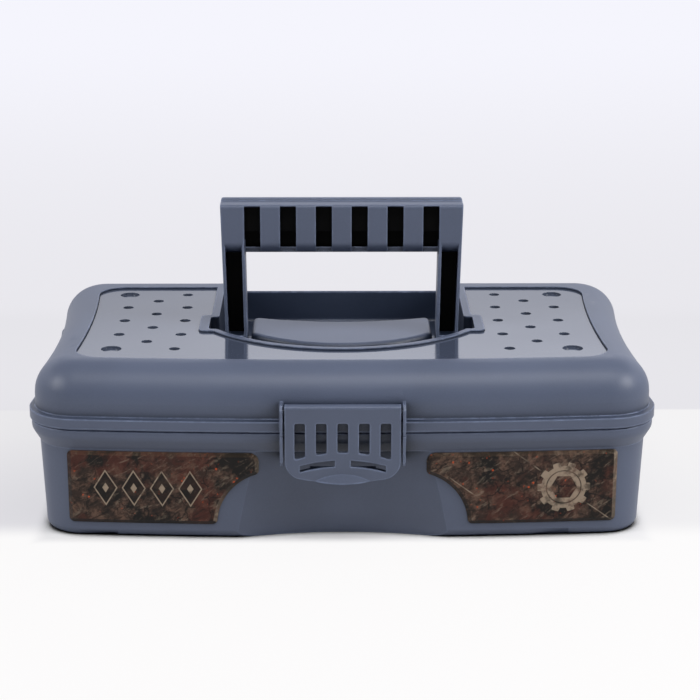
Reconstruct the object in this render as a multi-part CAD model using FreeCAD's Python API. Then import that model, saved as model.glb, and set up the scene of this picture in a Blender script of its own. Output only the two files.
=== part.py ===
import FreeCAD, Part
import math
import os

os.makedirs("parts", exist_ok=True)
V = FreeCAD.Vector

# Driving sizes in millimetres. X runs along the box, Y from latch to hinges, Z up.
# Plan of the rim: bowed front, waisted sides, straight back.
rim_width = 290.0
rim_depth = 173.0
front_bow = 5.0
side_waist = 3.0
rim_corner_radius = 24.0
wall = 2.2

# Tub
base_height = 53.0
base_flange_height = 10.0
base_flange_band = 4.0
base_flange_edge_radius = 5.0
base_flange_inset = 0.8
base_wall_inset = 4.4
base_foot_inset = 6.4
base_foot_fillet = 4.0
base_floor = 2.6
locating_lip_height = 2.2
locating_lip_width = 1.2
locating_lip_shoulder = 0.2
scoop_radius = 160.0
scoop_foot_depth = 7.5
scoop_top_depth = 4.5

# Lid
lid_height = 29.0
lid_flange_band = 5.0
lid_flange_slope = 0.6
lid_wall_inset = 2.7
lid_roundover = 17.0
parting_gap = 0.3
parting_edge = 0.5
lid_skin = 2.0

# Gloss panel let into the lid
panel_thickness = 1.6
panel_sink = 1.0
panel_edge_land = 0.8
panel_corner_radius = 13.0
panel_back_margin = 4.3
panel_clearance = 0.2
dimple_radius = 2.6
dimple_floor_radius = 2.3
dimple_depth = 1.3
large_dimple_radius = 4.8
large_dimple_floor_radius = 4.5
large_dimple_depth = 1.1
dimple_edge_offset = 15.3
dimple_inner_offset = 7.8
dimple_end_margin = 12.0

# Handle recess in the lid
recess_depth = 18.0
recess_side_gap = 2.0
recess_back_wall = 3.2
recess_trough_depth = 5.8
recess_trough_front = 32.0
recess_front_sag = 31.7
recess_corner_radius = 1.9
bead_side_width = 3.7
bead_ear_width = 4.6
bead_end_width = 3.0
bead_corner_radius = 3.0
bead_inner_radius = 1.5
ear_pocket_step = 4.1
ear_pocket_front = 12.0
ear_pocket_back = 10.1
socket_wall = 3.0
socket_length = 1.0

# Raised pad in the recess
pad_leg_gap = 2.3
pad_drop = 5.0
pad_front_reach = 21.5
pad_back_reach = 20.5
pad_front_sag = 20.0
pad_back_sag = 8.5
pad_corner_radius = 3.0
pad_edge_radius = 2.4

# Carry handle
handle_width = 116.0
handle_depth = 13.0
handle_pivot_y = -6.5
handle_pivot_drop = 9.0
handle_finger_gap = 17.5
handle_leg_width = 11.7
handle_leg_taper = 2.1
handle_wall = 1.5
handle_corner_radius = 1.2
handle_boss_rise = 3.9
handle_pin_diameter = 5.0
handle_pin_head = 1.5
handle_pin_head_edge = 1.2

# Grip of the handle, with slots and a black core behind them
grip_height = 25.3
grip_skin = 2.5
grip_under_radius = 6.0
grip_nose_radius = 1.6
grip_rail_width = 2.2
grip_rail_height = 1.2
grip_slot_count = 6
grip_slot_width = 7.7
grip_end_bar = 11.4
grip_slot_top_gap = 0.6
grip_slot_foot_setback = 5.0
core_setback = 8.0
core_shelf_setback = 4.0
core_shelf_height = 12.0

# Front latch
latch_width = 52.4
latch_top_rise = 14.2
latch_drop = 22.1
latch_stand_off = 4.5
latch_thickness = 3.2
latch_skin = 1.4
latch_side_wall = 3.6
latch_pocket_margin = 0.8
latch_barrel_radius = 3.4
latch_edge_radius = 1.2
latch_slot_count = 5
latch_slot_width = 4.8
latch_slot_pitch = 9.7
latch_slot_corner = 0.8
latch_slot_top_rise = 6.2
latch_slot_bottom_drop = 7.6
latch_arc_drop = 11.2
latch_arc_height = 3.0
latch_arc_inner = 3.6
latch_arc_outer = 19.5
latch_arc_radius = 70.0
latch_foot_radius = 100.0
latch_corner_radius = 8.5
latch_lip_reach = 2.4
latch_lip_height = 4.2
latch_lip_skin = 1.2
latch_lip_radius = 42.0
latch_pin_diameter = 2.6
hook_undercut = 0.35
hook_drop = 15.8
hook_nose = 1.2
hook_root = 4.0
hook_outer = 15.0
guide_rib_gap = 0.9
guide_rib_width = 1.3
guide_rib_drop = 14.5
guide_rib_chamfer = 2.0

# Back hinges
hinge_end_inset = 55.0
hinge_length = 40.0
hinge_knuckle_radius = 4.0
hinge_pin_diameter = 3.0
hinge_set_back = 4.6
hinge_axis_rise = 1.5
hinge_end_knuckle = 10.0

# Printed labels with bevelled edges
label_thickness = 1.2
label_bevel_width = 1.8
label_bevel_depth = 0.9
label_end_inset = 18.8
label_latch_gap = 12.1
label_foot = 7.0
label_top_gap = 0.8
label_arc_radius = 26.0
label_arc_shift = 6.6
label_corner_radius = 2.4
label_shoulder_radius = 4.3

# Lift-out tray
tray_ledge_rise = 3.4
tray_depth = 24.0
tray_wall = 1.6
tray_floor = 1.8
tray_draft = 1.8
tray_foot_radius = 3.0
tray_cross_x = 48.0
tray_grip_half = 38.0
tray_grip_rise = 6.5
tray_grip_radius = 4.0
tray_grip_bar = 3.5
tray_hole_height = 22.5
tray_hole_margin = 8.0
tray_hole_radius = 5.0

# Clearances, and the spare length of a cutter past the faces that it cuts
running_gap = 0.05
press_gap = 0.02
loose_gap = 0.5
skin_gap = 0.05
spare = 1.0

# Derived heights
parting = base_height
base_flange_bottom = parting - base_flange_height
tray_ledge = base_flange_bottom + tray_ledge_rise
lid_bottom = parting + parting_gap
lid_flange_top = lid_bottom + lid_flange_band
lid_top = parting + lid_height
lip_slot_top = parting + locating_lip_height + loose_gap
panel_top = lid_top - panel_sink
panel_bottom = panel_top - panel_thickness
lid_cavity_top = panel_bottom - lid_skin
recess_floor = lid_top - recess_depth
trough_floor = recess_floor - recess_trough_depth
handle_pivot_z = lid_top - handle_pivot_drop

# Derived plan sizes
rim_front = -rim_depth / 2 - front_bow
rim_back = rim_depth / 2
front_half = rim_width / 2 - rim_corner_radius
front_radius = (front_half ** 2 + front_bow ** 2) / (2 * front_bow)
front_centre = V(0, rim_front + front_radius, 0)
side_half = rim_depth / 2 - rim_corner_radius
side_radius = (side_half ** 2 + side_waist ** 2) / (2 * side_waist)
side_centre = V(rim_width / 2 - side_waist + side_radius, 0, 0)

lip_outer_inset = base_wall_inset - locating_lip_width - locating_lip_shoulder
lip_inner_inset = lip_outer_inset + locating_lip_width
lid_lip_inset = lip_outer_inset - loose_gap
panel_inset = lid_wall_inset + lid_roundover + panel_edge_land + panel_clearance

recess_half = handle_width / 2 + recess_side_gap
recess_back = rim_back - lid_wall_inset - recess_back_wall
ear_half = recess_half + ear_pocket_step
ear_front = handle_pivot_y - ear_pocket_front
ear_back = handle_pivot_y + ear_pocket_back
recess_front_radius = (recess_half ** 2 + recess_front_sag ** 2) / (2 * recess_front_sag)
recess_front_centre = ear_front - recess_front_sag + recess_front_radius

# Derived sizes of the handle
handle_length = recess_back - handle_finger_gap - handle_pivot_y
handle_top = handle_pivot_z + handle_length
handle_end_radius = handle_depth / 2
handle_bottom = handle_pivot_z - handle_end_radius
handle_front = handle_pivot_y - handle_depth / 2
handle_back = handle_pivot_y + handle_depth / 2
hood_top = handle_top - grip_rail_height
grip_bottom = handle_top - grip_height
window_half = handle_width / 2 - handle_leg_width
grip_slot_pitch = (handle_width - 2 * grip_end_bar - grip_slot_width) / (grip_slot_count - 1)

# Derived sizes of the latch and hinges
latch_front = rim_front - latch_stand_off
latch_back = latch_front + latch_thickness
latch_axis_y = latch_front + latch_barrel_radius
latch_top = parting + latch_top_rise
latch_axis_z = latch_top - latch_barrel_radius
latch_bottom = parting - latch_drop
guide_rib_x = latch_width / 2 + guide_rib_gap
hinge_axis_y = rim_back + hinge_set_back
hinge_axis_z = parting + hinge_axis_rise
hinge_middles = (hinge_end_inset - rim_width / 2, rim_width / 2 - hinge_end_inset)

# Derived sizes of the labels and tray
label_outer_x = rim_width / 2 - label_end_inset
label_inner_x = latch_width / 2 + label_latch_gap
label_arc_x = label_inner_x - label_arc_shift
label_top = base_flange_bottom - label_top_gap
tray_bottom = tray_ledge - tray_depth
tray_top = tray_ledge + tray_wall
tray_grip_top = tray_top + tray_grip_rise


def circle_meet(centre_a, radius_a, centre_b, radius_b):
    """Meeting point of two circles with the lower Y."""
    across = centre_b - centre_a
    distance = across.Length
    along = (radius_a ** 2 - radius_b ** 2 + distance ** 2) / (2 * distance)
    height = math.sqrt(radius_a ** 2 - along ** 2)
    unit = across * (1 / distance)
    normal = V(-unit.y, unit.x, 0)
    foot = centre_a + unit * along
    return min(foot + normal * height, foot - normal * height, key=lambda p: p.y)


def plan_wire(inset, z, radius=None, back_extra=0.0):
    """Box outline drawn in by inset: bowed front, waisted sides, straight back, round corners."""
    corner = rim_corner_radius - inset if radius is None else radius
    front_r = front_radius - inset
    side_r = side_radius + inset
    back_y = rim_back - inset - back_extra
    front_corner = circle_meet(front_centre, front_r - corner, side_centre, side_r + corner)
    back_corner_y = back_y - corner
    back_corner_x = side_centre.x - math.sqrt((side_r + corner) ** 2 - back_corner_y ** 2)
    back_corner = V(back_corner_x, back_corner_y, 0)

    toward_front = (front_corner - front_centre).normalize()
    toward_side = (side_centre - front_corner).normalize()
    front_touch = front_centre + toward_front * front_r
    side_touch_front = front_corner + toward_side * corner
    front_mid = front_corner + (toward_front + toward_side).normalize() * corner
    out_side = (side_centre - back_corner).normalize()
    side_touch_back = back_corner + out_side * corner
    back_touch = V(back_corner.x, back_y, 0)
    back_mid = back_corner + (out_side + V(0, 1, 0)).normalize() * corner
    waist = V(side_centre.x - side_r, 0, 0)
    apex = V(0, rim_front + inset, 0)

    def lift(point, sign=1):
        return V(sign * point.x, point.y, z)

    edges = [
        Part.Arc(lift(front_touch, -1), lift(apex), lift(front_touch)).toShape(),
        Part.Arc(lift(front_touch), lift(front_mid), lift(side_touch_front)).toShape(),
        Part.Arc(lift(side_touch_front), lift(waist), lift(side_touch_back)).toShape(),
        Part.Arc(lift(side_touch_back), lift(back_mid), lift(back_touch)).toShape(),
        Part.LineSegment(lift(back_touch), lift(back_touch, -1)).toShape(),
        Part.Arc(lift(back_touch, -1), lift(back_mid, -1), lift(side_touch_back, -1)).toShape(),
        Part.Arc(lift(side_touch_back, -1), lift(waist, -1), lift(side_touch_front, -1)).toShape(),
        Part.Arc(lift(side_touch_front, -1), lift(front_mid, -1), lift(front_touch, -1)).toShape(),
    ]
    return Part.Wire(edges)


def side_edge_x(y, inset):
    """Half width of the waisted side at depth y."""
    return side_centre.x - math.sqrt((side_radius + inset) ** 2 - y ** 2)


def line(start, end):
    return Part.LineSegment(start, end).toShape()


def arc(start, middle, end):
    return Part.Arc(start, middle, end).toShape()


def prism(wire, bottom, top):
    """Upright solid on a wire drawn at height zero or at its own bottom."""
    face = Part.Face(wire)
    face.translate(V(0, 0, bottom - wire.BoundBox.ZMin))
    return face.extrude(V(0, 0, top - bottom))


def plan_prism(inset, bottom, top, radius=None, back_extra=0.0):
    return prism(plan_wire(inset, bottom, radius, back_extra), bottom, top)


def plan_loft(inset_low, low, inset_high, high):
    """Drafted wall solid between two outlines."""
    return Part.makeLoft([plan_wire(inset_low, low), plan_wire(inset_high, high)], True, True)


def box(x0, x1, y0, y1, z0, z1):
    return Part.makeBox(x1 - x0, y1 - y0, z1 - z0, V(x0, y0, z0))


def rod_x(radius, x0, x1, y, z):
    """Round bar along X."""
    return Part.makeCylinder(radius, x1 - x0, V(x0, y, z), V(1, 0, 0))


def side_plate(points, x0, x1):
    """Flat plate from a Y-Z outline, running from x0 to x1."""
    outline = Part.makePolygon([V(x0, y, z) for y, z in points + points[:1]])
    return Part.Face(outline).extrude(V(x1 - x0, 0, 0))


def front_plate(points, y0, y1):
    """Flat plate from an X-Z outline, running from y0 to y1."""
    outline = Part.makePolygon([V(x, y0, z) for x, z in points + points[:1]])
    return Part.Face(outline).extrude(V(0, y1 - y0, 0))


def both_sides(shape):
    """A shape and its mirror image across the middle."""
    return [shape, shape.mirror(V(0, 0, 0), V(1, 0, 0))]


def join(shapes):
    return shapes[0].fuse(shapes[1:]).removeSplitter()


def edges_at(shape, z):
    """Edges of a shape that lie wholly at height z."""
    return [e for e in shape.Edges if abs(e.BoundBox.ZMin - z) < 1e-4 and abs(e.BoundBox.ZMax - z) < 1e-4]


def upright_edges(shape):
    """Straight edges that run along Z."""
    return [e for e in shape.Edges if max(e.BoundBox.XLength, e.BoundBox.YLength) < 1e-4]


def edges_along_y(shape):
    """Straight edges that run along Y."""
    return [e for e in shape.Edges if max(e.BoundBox.XLength, e.BoundBox.ZLength) < 1e-4]


def scoop_solid(grow, top):
    """Leaning round scoop under the latch, grown inwards for the wall behind it."""
    foot_y = rim_front + base_foot_inset + scoop_foot_depth - scoop_radius
    top_y = rim_front + base_wall_inset + scoop_top_depth - scoop_radius
    lean = V(0, top_y - foot_y, base_flange_bottom)
    start = V(0, foot_y, 0) - lean
    cylinder = Part.makeCylinder(scoop_radius + grow, 3 * lean.Length, start, lean)
    reach = box(-rim_width / 2, rim_width / 2, rim_front - scoop_radius, 0, -base_height, top)
    return cylinder.common(reach)


def recess_prism(bottom, top, side=0.0, ear=0.0, end=0.0, back=None):
    """Plan of the handle recess with its two ear pockets and round front, grown at sides, ears and ends."""
    back_y = recess_back + end if back is None else back
    half = recess_half + side
    ear_x = ear_half + ear
    front_y = ear_front - end
    rear_y = ear_back + end
    radius = recess_front_radius + end
    start_x = math.sqrt(radius ** 2 - (recess_front_centre - front_y) ** 2)
    apex = V(0, recess_front_centre - radius, 0)
    right = [V(start_x, front_y, 0), V(ear_x, front_y, 0), V(ear_x, rear_y, 0), V(half, rear_y, 0), V(half, back_y, 0)]
    left = [V(-p.x, p.y, 0) for p in reversed(right)]
    points = right + left
    edges = [line(a, b) for a, b in zip(points, points[1:])]
    edges.append(arc(points[-1], apex, points[0]))
    return prism(Part.Wire(edges), bottom, top)


def bead_prism(gap, bottom, top):
    """Plan of the rolled bead round the recess, open at the back, grown by gap."""
    ear = bead_ear_width + gap
    solid = recess_prism(bottom, top, bead_side_width + gap, ear, bead_end_width + gap, rim_back)
    corners = [e for e in upright_edges(solid) if e.BoundBox.YMax < recess_back]
    outer = [e for e in corners if abs(abs(e.BoundBox.XMin) - ear_half - ear) < 1e-4]
    solid = solid.makeFillet(bead_corner_radius, outer)
    inner = [e for e in upright_edges(solid) if e.BoundBox.YMax < recess_back
             and abs(e.BoundBox.XMin) < ear_half + ear - bead_corner_radius - 1e-3]
    return solid.makeFillet(bead_inner_radius, inner)


def hinge_spans(x_middle):
    """X ranges of the two outer knuckles and the middle knuckle of one hinge."""
    left = x_middle - hinge_length / 2
    right = x_middle + hinge_length / 2
    outer = [(left, left + hinge_end_knuckle), (right - hinge_end_knuckle, right)]
    inner = (left + hinge_end_knuckle + loose_gap, right - hinge_end_knuckle - loose_gap)
    return outer, inner


def knuckle(span, web):
    """Round hinge knuckle with its web to the wall."""
    barrel = rod_x(hinge_knuckle_radius, span[0], span[1], hinge_axis_y, hinge_axis_z)
    return barrel.fuse(side_plate(web, span[0], span[1]))


def make_base_tub():
    wall_body = plan_loft(base_foot_inset, 0, base_wall_inset, base_flange_bottom)
    wall_body = wall_body.makeFillet(base_foot_fillet, edges_at(wall_body, 0))
    band_bottom = parting - base_flange_band
    band = plan_prism(base_flange_inset, band_bottom, parting)
    taper = plan_loft(base_wall_inset, base_flange_bottom, base_flange_inset, band_bottom)
    flange = band.fuse(taper)
    flange = flange.makeFillet(base_flange_edge_radius, edges_at(flange, band_bottom))
    flange = flange.makeChamfer(parting_edge, edges_at(flange, parting))
    lip = plan_prism(lip_outer_inset, parting - wall, parting + locating_lip_height)
    body = join([wall_body, flange, lip]).cut(scoop_solid(0, base_flange_bottom))

    rib_bottom = parting - guide_rib_drop
    rib_root = rim_front + base_wall_inset + scoop_top_depth + wall / 2
    rib = side_plate([
        (latch_front, parting), (latch_front, rib_bottom + guide_rib_chamfer),
        (latch_front + guide_rib_chamfer, rib_bottom), (rib_root, rib_bottom), (rib_root, parting),
    ], guide_rib_x, guide_rib_x + guide_rib_width)
    web = [
        (rim_back - wall, base_flange_bottom + wall), (rim_back - wall, parting),
        (hinge_axis_y, parting), (hinge_axis_y, hinge_axis_z - hinge_knuckle_radius),
    ]
    knuckles = [knuckle(span, web) for middle in hinge_middles for span in hinge_spans(middle)[0]]
    body = join([body] + both_sides(rib) + knuckles)

    lower = plan_loft(base_foot_inset + wall, base_floor, base_wall_inset + wall, tray_ledge)
    lower = lower.makeFillet(base_foot_fillet - wall / 2, edges_at(lower, base_floor))
    lower = lower.cut(scoop_solid(wall, tray_ledge))
    upper = plan_prism(lip_inner_inset, tray_ledge, lip_slot_top)
    body = body.cut(lower).cut(upper)
    bore = hinge_pin_diameter / 2 + press_gap
    for middle in hinge_middles:
        body = body.cut(rod_x(bore, middle - hinge_length, middle + hinge_length, hinge_axis_y, hinge_axis_z))
    return body.removeSplitter()


def make_lid_shell():
    band = plan_prism(0, lid_bottom, lid_flange_top)
    band = band.makeChamfer(parting_edge, edges_at(band, lid_bottom))
    slope = plan_loft(0, lid_flange_top, lid_wall_inset, lid_flange_top + lid_flange_slope)
    dome = plan_prism(lid_wall_inset, lid_bottom + wall, lid_top)
    dome = dome.makeFillet(lid_roundover, edges_at(dome, lid_top))
    body = join([band, slope, dome])

    inner_round = lid_roundover - (lid_top - lid_cavity_top)
    cavity = plan_prism(lid_wall_inset + wall, lid_bottom - spare, lid_cavity_top)
    cavity = cavity.makeFillet(inner_round, edges_at(cavity, lid_cavity_top))
    bowl = recess_prism(recess_floor - wall, lid_top, wall, wall, wall, rim_back)
    bowl = bowl.fuse(make_trough(wall, rim_back))
    body = body.cut(cavity.cut(bowl))

    recess = recess_prism(recess_floor, lid_top + spare)
    body = body.cut(recess.makeFillet(recess_corner_radius, upright_edges(recess)))
    trough = make_trough(0, recess_back)
    body = body.cut(trough.makeFillet(recess_corner_radius, upright_edges(trough) + edges_at(trough, trough_floor)))
    pocket = plan_prism(panel_inset - panel_clearance, panel_bottom, lid_top + spare,
                        panel_corner_radius + panel_clearance, panel_back_margin)
    body = body.cut(pocket.cut(bead_prism(0, panel_bottom - spare, lid_top + 2 * spare)))

    rib_root = rim_front + lid_wall_inset + wall / 2
    rib = side_plate([
        (latch_front, lid_bottom), (latch_front, latch_top - guide_rib_chamfer),
        (latch_front + guide_rib_chamfer, latch_top), (rib_root, latch_top), (rib_root, lid_bottom),
    ], guide_rib_x, guide_rib_x + guide_rib_width)
    web = [
        (rim_back - wall / 2, lid_bottom), (rim_back - wall / 2, lid_flange_top - spare),
        (hinge_axis_y, hinge_axis_z + hinge_knuckle_radius), (hinge_axis_y, lid_bottom),
    ]
    knuckles = [knuckle(hinge_spans(middle)[1], web) for middle in hinge_middles]
    socket = rod_x(handle_pin_diameter / 2 + socket_wall, ear_half + wall / 2, ear_half + wall + socket_length,
                   handle_pivot_y, handle_pivot_z)
    body = join([body, make_pad()] + both_sides(rib) + knuckles + both_sides(socket))

    lip_slot = plan_prism(lid_lip_inset, lid_bottom - spare, lip_slot_top)
    body = body.cut(lip_slot.cut(bowl))
    hinge_bore = hinge_pin_diameter / 2 + running_gap
    for middle in hinge_middles:
        body = body.cut(rod_x(hinge_bore, middle - hinge_length, middle + hinge_length, hinge_axis_y, hinge_axis_z))
    latch_bore = latch_pin_diameter / 2 + press_gap
    body = body.cut(rod_x(latch_bore, -latch_width, latch_width, latch_axis_y, latch_axis_z))
    handle_bore = rod_x(handle_pin_diameter / 2 + running_gap, recess_half, ear_half + wall + socket_length + spare,
                        handle_pivot_y, handle_pivot_z)
    for bore in both_sides(handle_bore):
        body = body.cut(bore)
    return body.removeSplitter()


def make_trough(grow, back):
    """Finger room under the folded grip: the deeper back of the recess, grown at the sides, front and floor."""
    half = recess_half + grow
    return box(-half, half, recess_trough_front - grow, back, trough_floor - grow, recess_floor + spare)


def make_pad():
    """Raised curved pad in the recess: a band between two arcs with round edges."""
    half = window_half - pad_leg_gap
    front_mid = handle_pivot_y - pad_front_reach
    front_end = front_mid + pad_front_sag
    back_mid = handle_pivot_y + pad_back_reach
    back_end = back_mid + pad_back_sag
    edges = [
        arc(V(-half, front_end, 0), V(0, front_mid, 0), V(half, front_end, 0)),
        line(V(half, front_end, 0), V(half, back_end, 0)),
        arc(V(half, back_end, 0), V(0, back_mid, 0), V(-half, back_end, 0)),
        line(V(-half, back_end, 0), V(-half, front_end, 0)),
    ]
    top = lid_top - pad_drop
    pad = prism(Part.Wire(edges), recess_floor - wall / 2, top)
    pad = pad.makeFillet(pad_corner_radius, upright_edges(pad))
    return pad.makeFillet(pad_edge_radius, edges_at(pad, top))


def make_lid_top_panel():
    panel = plan_prism(panel_inset, panel_bottom, panel_top, panel_corner_radius, panel_back_margin)
    panel = panel.cut(bead_prism(panel_clearance, panel_bottom - spare, panel_top + spare))
    row_pitch = (rim_back - panel_inset - panel_back_margin - dimple_end_margin) / 2
    strip_inner = ear_half + bead_ear_width + dimple_inner_offset
    column_pitch = (side_edge_x(0, panel_inset) - dimple_edge_offset - strip_inner) / 2
    rows = {0: (-1, 0, 1), 1: (-1.5, -0.5, 0.5, 1.5), 2: (-2, -1, 0, 1, 2)}
    cutters = []
    for column, places in rows.items():
        for place in places:
            cutters += dimple(place * row_pitch, dimple_edge_offset + column * column_pitch,
                              dimple_radius, dimple_floor_radius, dimple_depth)
    for place in (-2, 2):
        cutters += dimple(place * row_pitch, dimple_edge_offset,
                          large_dimple_radius, large_dimple_floor_radius, large_dimple_depth)
    return panel.cut(cutters)


def dimple(y, edge_offset, radius, floor_radius, depth):
    """Pair of cone cutters that leave round dishes in the panel, one each side."""
    x = side_edge_x(y, panel_inset) - edge_offset
    slope = (radius - floor_radius) / depth
    cone = Part.makeCone(floor_radius, radius + slope * spare, depth + spare, V(x, y, panel_top - depth))
    return both_sides(cone)


def handle_half(z):
    """Half width of the tapered handle at height z."""
    return handle_width / 2 - handle_leg_taper * (handle_top - z) / (handle_top - handle_bottom)


def handle_plate(offset, bottom, top, front, back):
    """Front view of the whole handle drawn in by offset at the sides, as a plate."""
    low = handle_half(bottom) - offset
    high = handle_half(top) - offset
    return front_plate([(-low, bottom), (low, bottom), (high, top), (-high, top)], front, back)


def window_plate(offset, bottom, front, back):
    """Hand opening between the legs grown by offset, as a plate."""
    top = grip_bottom + offset
    high = window_half + offset
    low = high - handle_leg_taper / 2 * (top - bottom) / handle_length
    return front_plate([(-low, bottom), (low, bottom), (high, top), (-high, top)], front, back)


def make_core_space(gap, front, back):
    """Hollow of the handle: the grip and the two leg channels."""
    inset = handle_wall + gap
    low = handle_pivot_z + handle_boss_rise + gap
    outer = handle_plate(inset, low, hood_top - inset, front, back)
    return outer.cut(window_plate(inset, low - spare, front - spare, back + spare))


def make_grip_profile():
    """Side view of the handle: round front edge at the top, a rail along the back edge and a round foot."""
    x = -handle_width
    nose = grip_nose_radius
    diagonal = nose * (1 - math.sqrt(0.5))
    pivot = V(x, handle_pivot_y, handle_pivot_z)
    front_low = V(x, handle_front, handle_pivot_z)
    front_high = V(x, handle_front, hood_top - nose)
    nose_mid = V(x, handle_front + diagonal, hood_top - diagonal)
    hood_front = V(x, handle_front + nose, hood_top)
    rail_foot = V(x, handle_back - grip_rail_width - grip_rail_height, hood_top)
    rail_front = V(x, handle_back - grip_rail_width, handle_top)
    rail_back = V(x, handle_back, handle_top)
    back_low = V(x, handle_back, handle_pivot_z)
    edges = [
        line(front_low, front_high), arc(front_high, nose_mid, hood_front), line(hood_front, rail_foot),
        line(rail_foot, rail_front), line(rail_front, rail_back), line(rail_back, back_low),
        arc(back_low, pivot - V(0, 0, handle_end_radius), front_low),
    ]
    return Part.Face(Part.Wire(edges)).extrude(V(2 * handle_width, 0, 0))


def under_arc(x, radius):
    """Quarter arc along the curled lower edge of the grip, from the front to the foot."""
    centre = V(x, handle_front + grip_under_radius, grip_bottom + grip_under_radius)
    diagonal = radius * math.sqrt(0.5)
    return centre - V(0, radius, 0), centre - V(0, diagonal, diagonal), centre - V(0, 0, radius)


def make_grip_skin():
    """Front skin of the grip between the side walls, curled under along its lower edge."""
    half = handle_half(grip_bottom) - handle_wall / 2
    out_front, out_mid, out_foot = under_arc(-half, grip_under_radius)
    in_front, in_mid, in_foot = under_arc(-half, grip_under_radius - grip_skin)
    top = hood_top - handle_wall / 2
    out_top = V(-half, out_front.y, top)
    in_top = V(-half, in_front.y, top)
    edges = [
        line(out_top, out_front), arc(out_front, out_mid, out_foot), line(out_foot, in_foot),
        arc(in_foot, in_mid, in_front), line(in_front, in_top), line(in_top, out_top),
    ]
    return Part.Face(Part.Wire(edges)).extrude(V(2 * half, 0, 0))


def make_under_cutter():
    """What the curled lower edge leaves away between the legs."""
    front, mid, foot = under_arc(-window_half, grip_under_radius)
    corner = V(front.x, front.y - spare, foot.z - spare)
    edges = [
        arc(front, mid, foot), line(foot, V(foot.x, foot.y, corner.z)), line(V(foot.x, foot.y, corner.z), corner),
        line(corner, V(front.x, corner.y, front.z)), line(V(front.x, corner.y, front.z), front),
    ]
    return Part.Face(Part.Wire(edges)).extrude(V(2 * window_half, 0, 0))


def make_handle_frame():
    body = handle_plate(0, handle_bottom, handle_top, handle_front, handle_back)
    top_corners = [e for e in edges_along_y(body) if e.BoundBox.ZMin > grip_bottom]
    body = body.makeFillet(handle_corner_radius, top_corners)
    body = body.cut(window_plate(0, handle_bottom - spare, handle_front - spare, handle_back + spare))
    body = body.cut(make_core_space(0, handle_front - spare, handle_back + spare))
    cheek = box(window_half, window_half + handle_wall, handle_front, handle_front + grip_under_radius,
                grip_bottom, grip_bottom + grip_under_radius)
    body = join([body, make_grip_skin()] + both_sides(cheek))
    body = body.common(make_grip_profile()).cut(make_under_cutter())

    half = grip_slot_width / 2
    slot_foot = grip_bottom + handle_wall
    slot_top = hood_top - grip_slot_top_gap
    foot_back = handle_front + grip_slot_foot_setback
    curl_top = grip_bottom + grip_under_radius
    cutters = []
    for number in range(grip_slot_count):
        x = (number - (grip_slot_count - 1) / 2) * grip_slot_pitch
        cutters.append(box(x - half, x + half, handle_front - spare, handle_front + grip_skin + spare / 2,
                           slot_foot, slot_top))
        cutters.append(box(x - half, x + half, handle_front - spare, foot_back, grip_bottom - spare, curl_top))
    cutters.append(rod_x(handle_pin_diameter / 2 + press_gap, -handle_width, handle_width,
                         handle_pivot_y, handle_pivot_z))
    return body.cut(cutters).removeSplitter()


def make_handle_core():
    gap = 2 * running_gap
    core = make_core_space(gap, handle_front + core_setback, handle_back)
    shelf_top = hood_top - handle_wall - gap
    shelf_half = handle_half(shelf_top - core_shelf_height) - handle_wall - gap
    shelf = box(-shelf_half, shelf_half, handle_front + core_shelf_setback, handle_front + core_setback + spare,
                shelf_top - core_shelf_height, shelf_top)
    return join([core, shelf])


def make_handle_pin():
    """Headed pin put in from inside the lid through its socket into the handle leg."""
    leg_inner = window_half + spare
    head_x = ear_half + wall + socket_length + loose_gap / 2
    shank = rod_x(handle_pin_diameter / 2, leg_inner, head_x + handle_pin_head, handle_pivot_y, handle_pivot_z)
    head = rod_x(handle_pin_diameter / 2 + handle_pin_head_edge, head_x, head_x + handle_pin_head,
                 handle_pivot_y, handle_pivot_z)
    return shank.fuse(head).removeSplitter()


def make_latch_outline(y0, y1):
    """Front view of the latch with its bowed foot and round lower corners, as a plate."""
    half = latch_width / 2
    foot_rise = half ** 2 / (2 * latch_foot_radius)
    left = V(-half, y0, latch_bottom + foot_rise)
    right = V(half, y0, latch_bottom + foot_rise)
    top_right = V(half, y0, latch_top + spare)
    top_left = V(-half, y0, latch_top + spare)
    edges = [
        arc(left, V(0, y0, latch_bottom), right), line(right, top_right),
        line(top_right, top_left), line(top_left, left),
    ]
    plate = Part.Face(Part.Wire(edges)).extrude(V(0, y1 - y0, 0))
    lower = [e for e in edges_along_y(plate) if e.BoundBox.ZMax < parting]
    return plate.makeFillet(latch_corner_radius, lower)


def make_latch_plate():
    """Flat latch plate with a round front edge at the top and the hinge barrel behind it."""
    x = -latch_width / 2
    radius = latch_barrel_radius
    edge = latch_edge_radius
    diagonal = edge * (1 - math.sqrt(0.5))
    foot = latch_bottom - spare
    neck_z = latch_axis_z - math.sqrt(radius ** 2 - (latch_back - latch_axis_y) ** 2)
    front_foot = V(x, latch_front, foot)
    front_top = V(x, latch_front, latch_top - edge)
    edge_mid = V(x, latch_front + diagonal, latch_top - diagonal)
    top_front = V(x, latch_front + edge, latch_top)
    over = V(x, latch_axis_y, latch_top)
    behind = V(x, latch_axis_y + radius, latch_axis_z)
    neck = V(x, latch_back, neck_z)
    back_foot = V(x, latch_back, foot)
    edges = [
        line(front_foot, front_top), arc(front_top, edge_mid, top_front), line(top_front, over),
        arc(over, behind, neck), line(neck, back_foot), line(back_foot, front_foot),
    ]
    return Part.Face(Part.Wire(edges)).extrude(V(latch_width, 0, 0))


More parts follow.
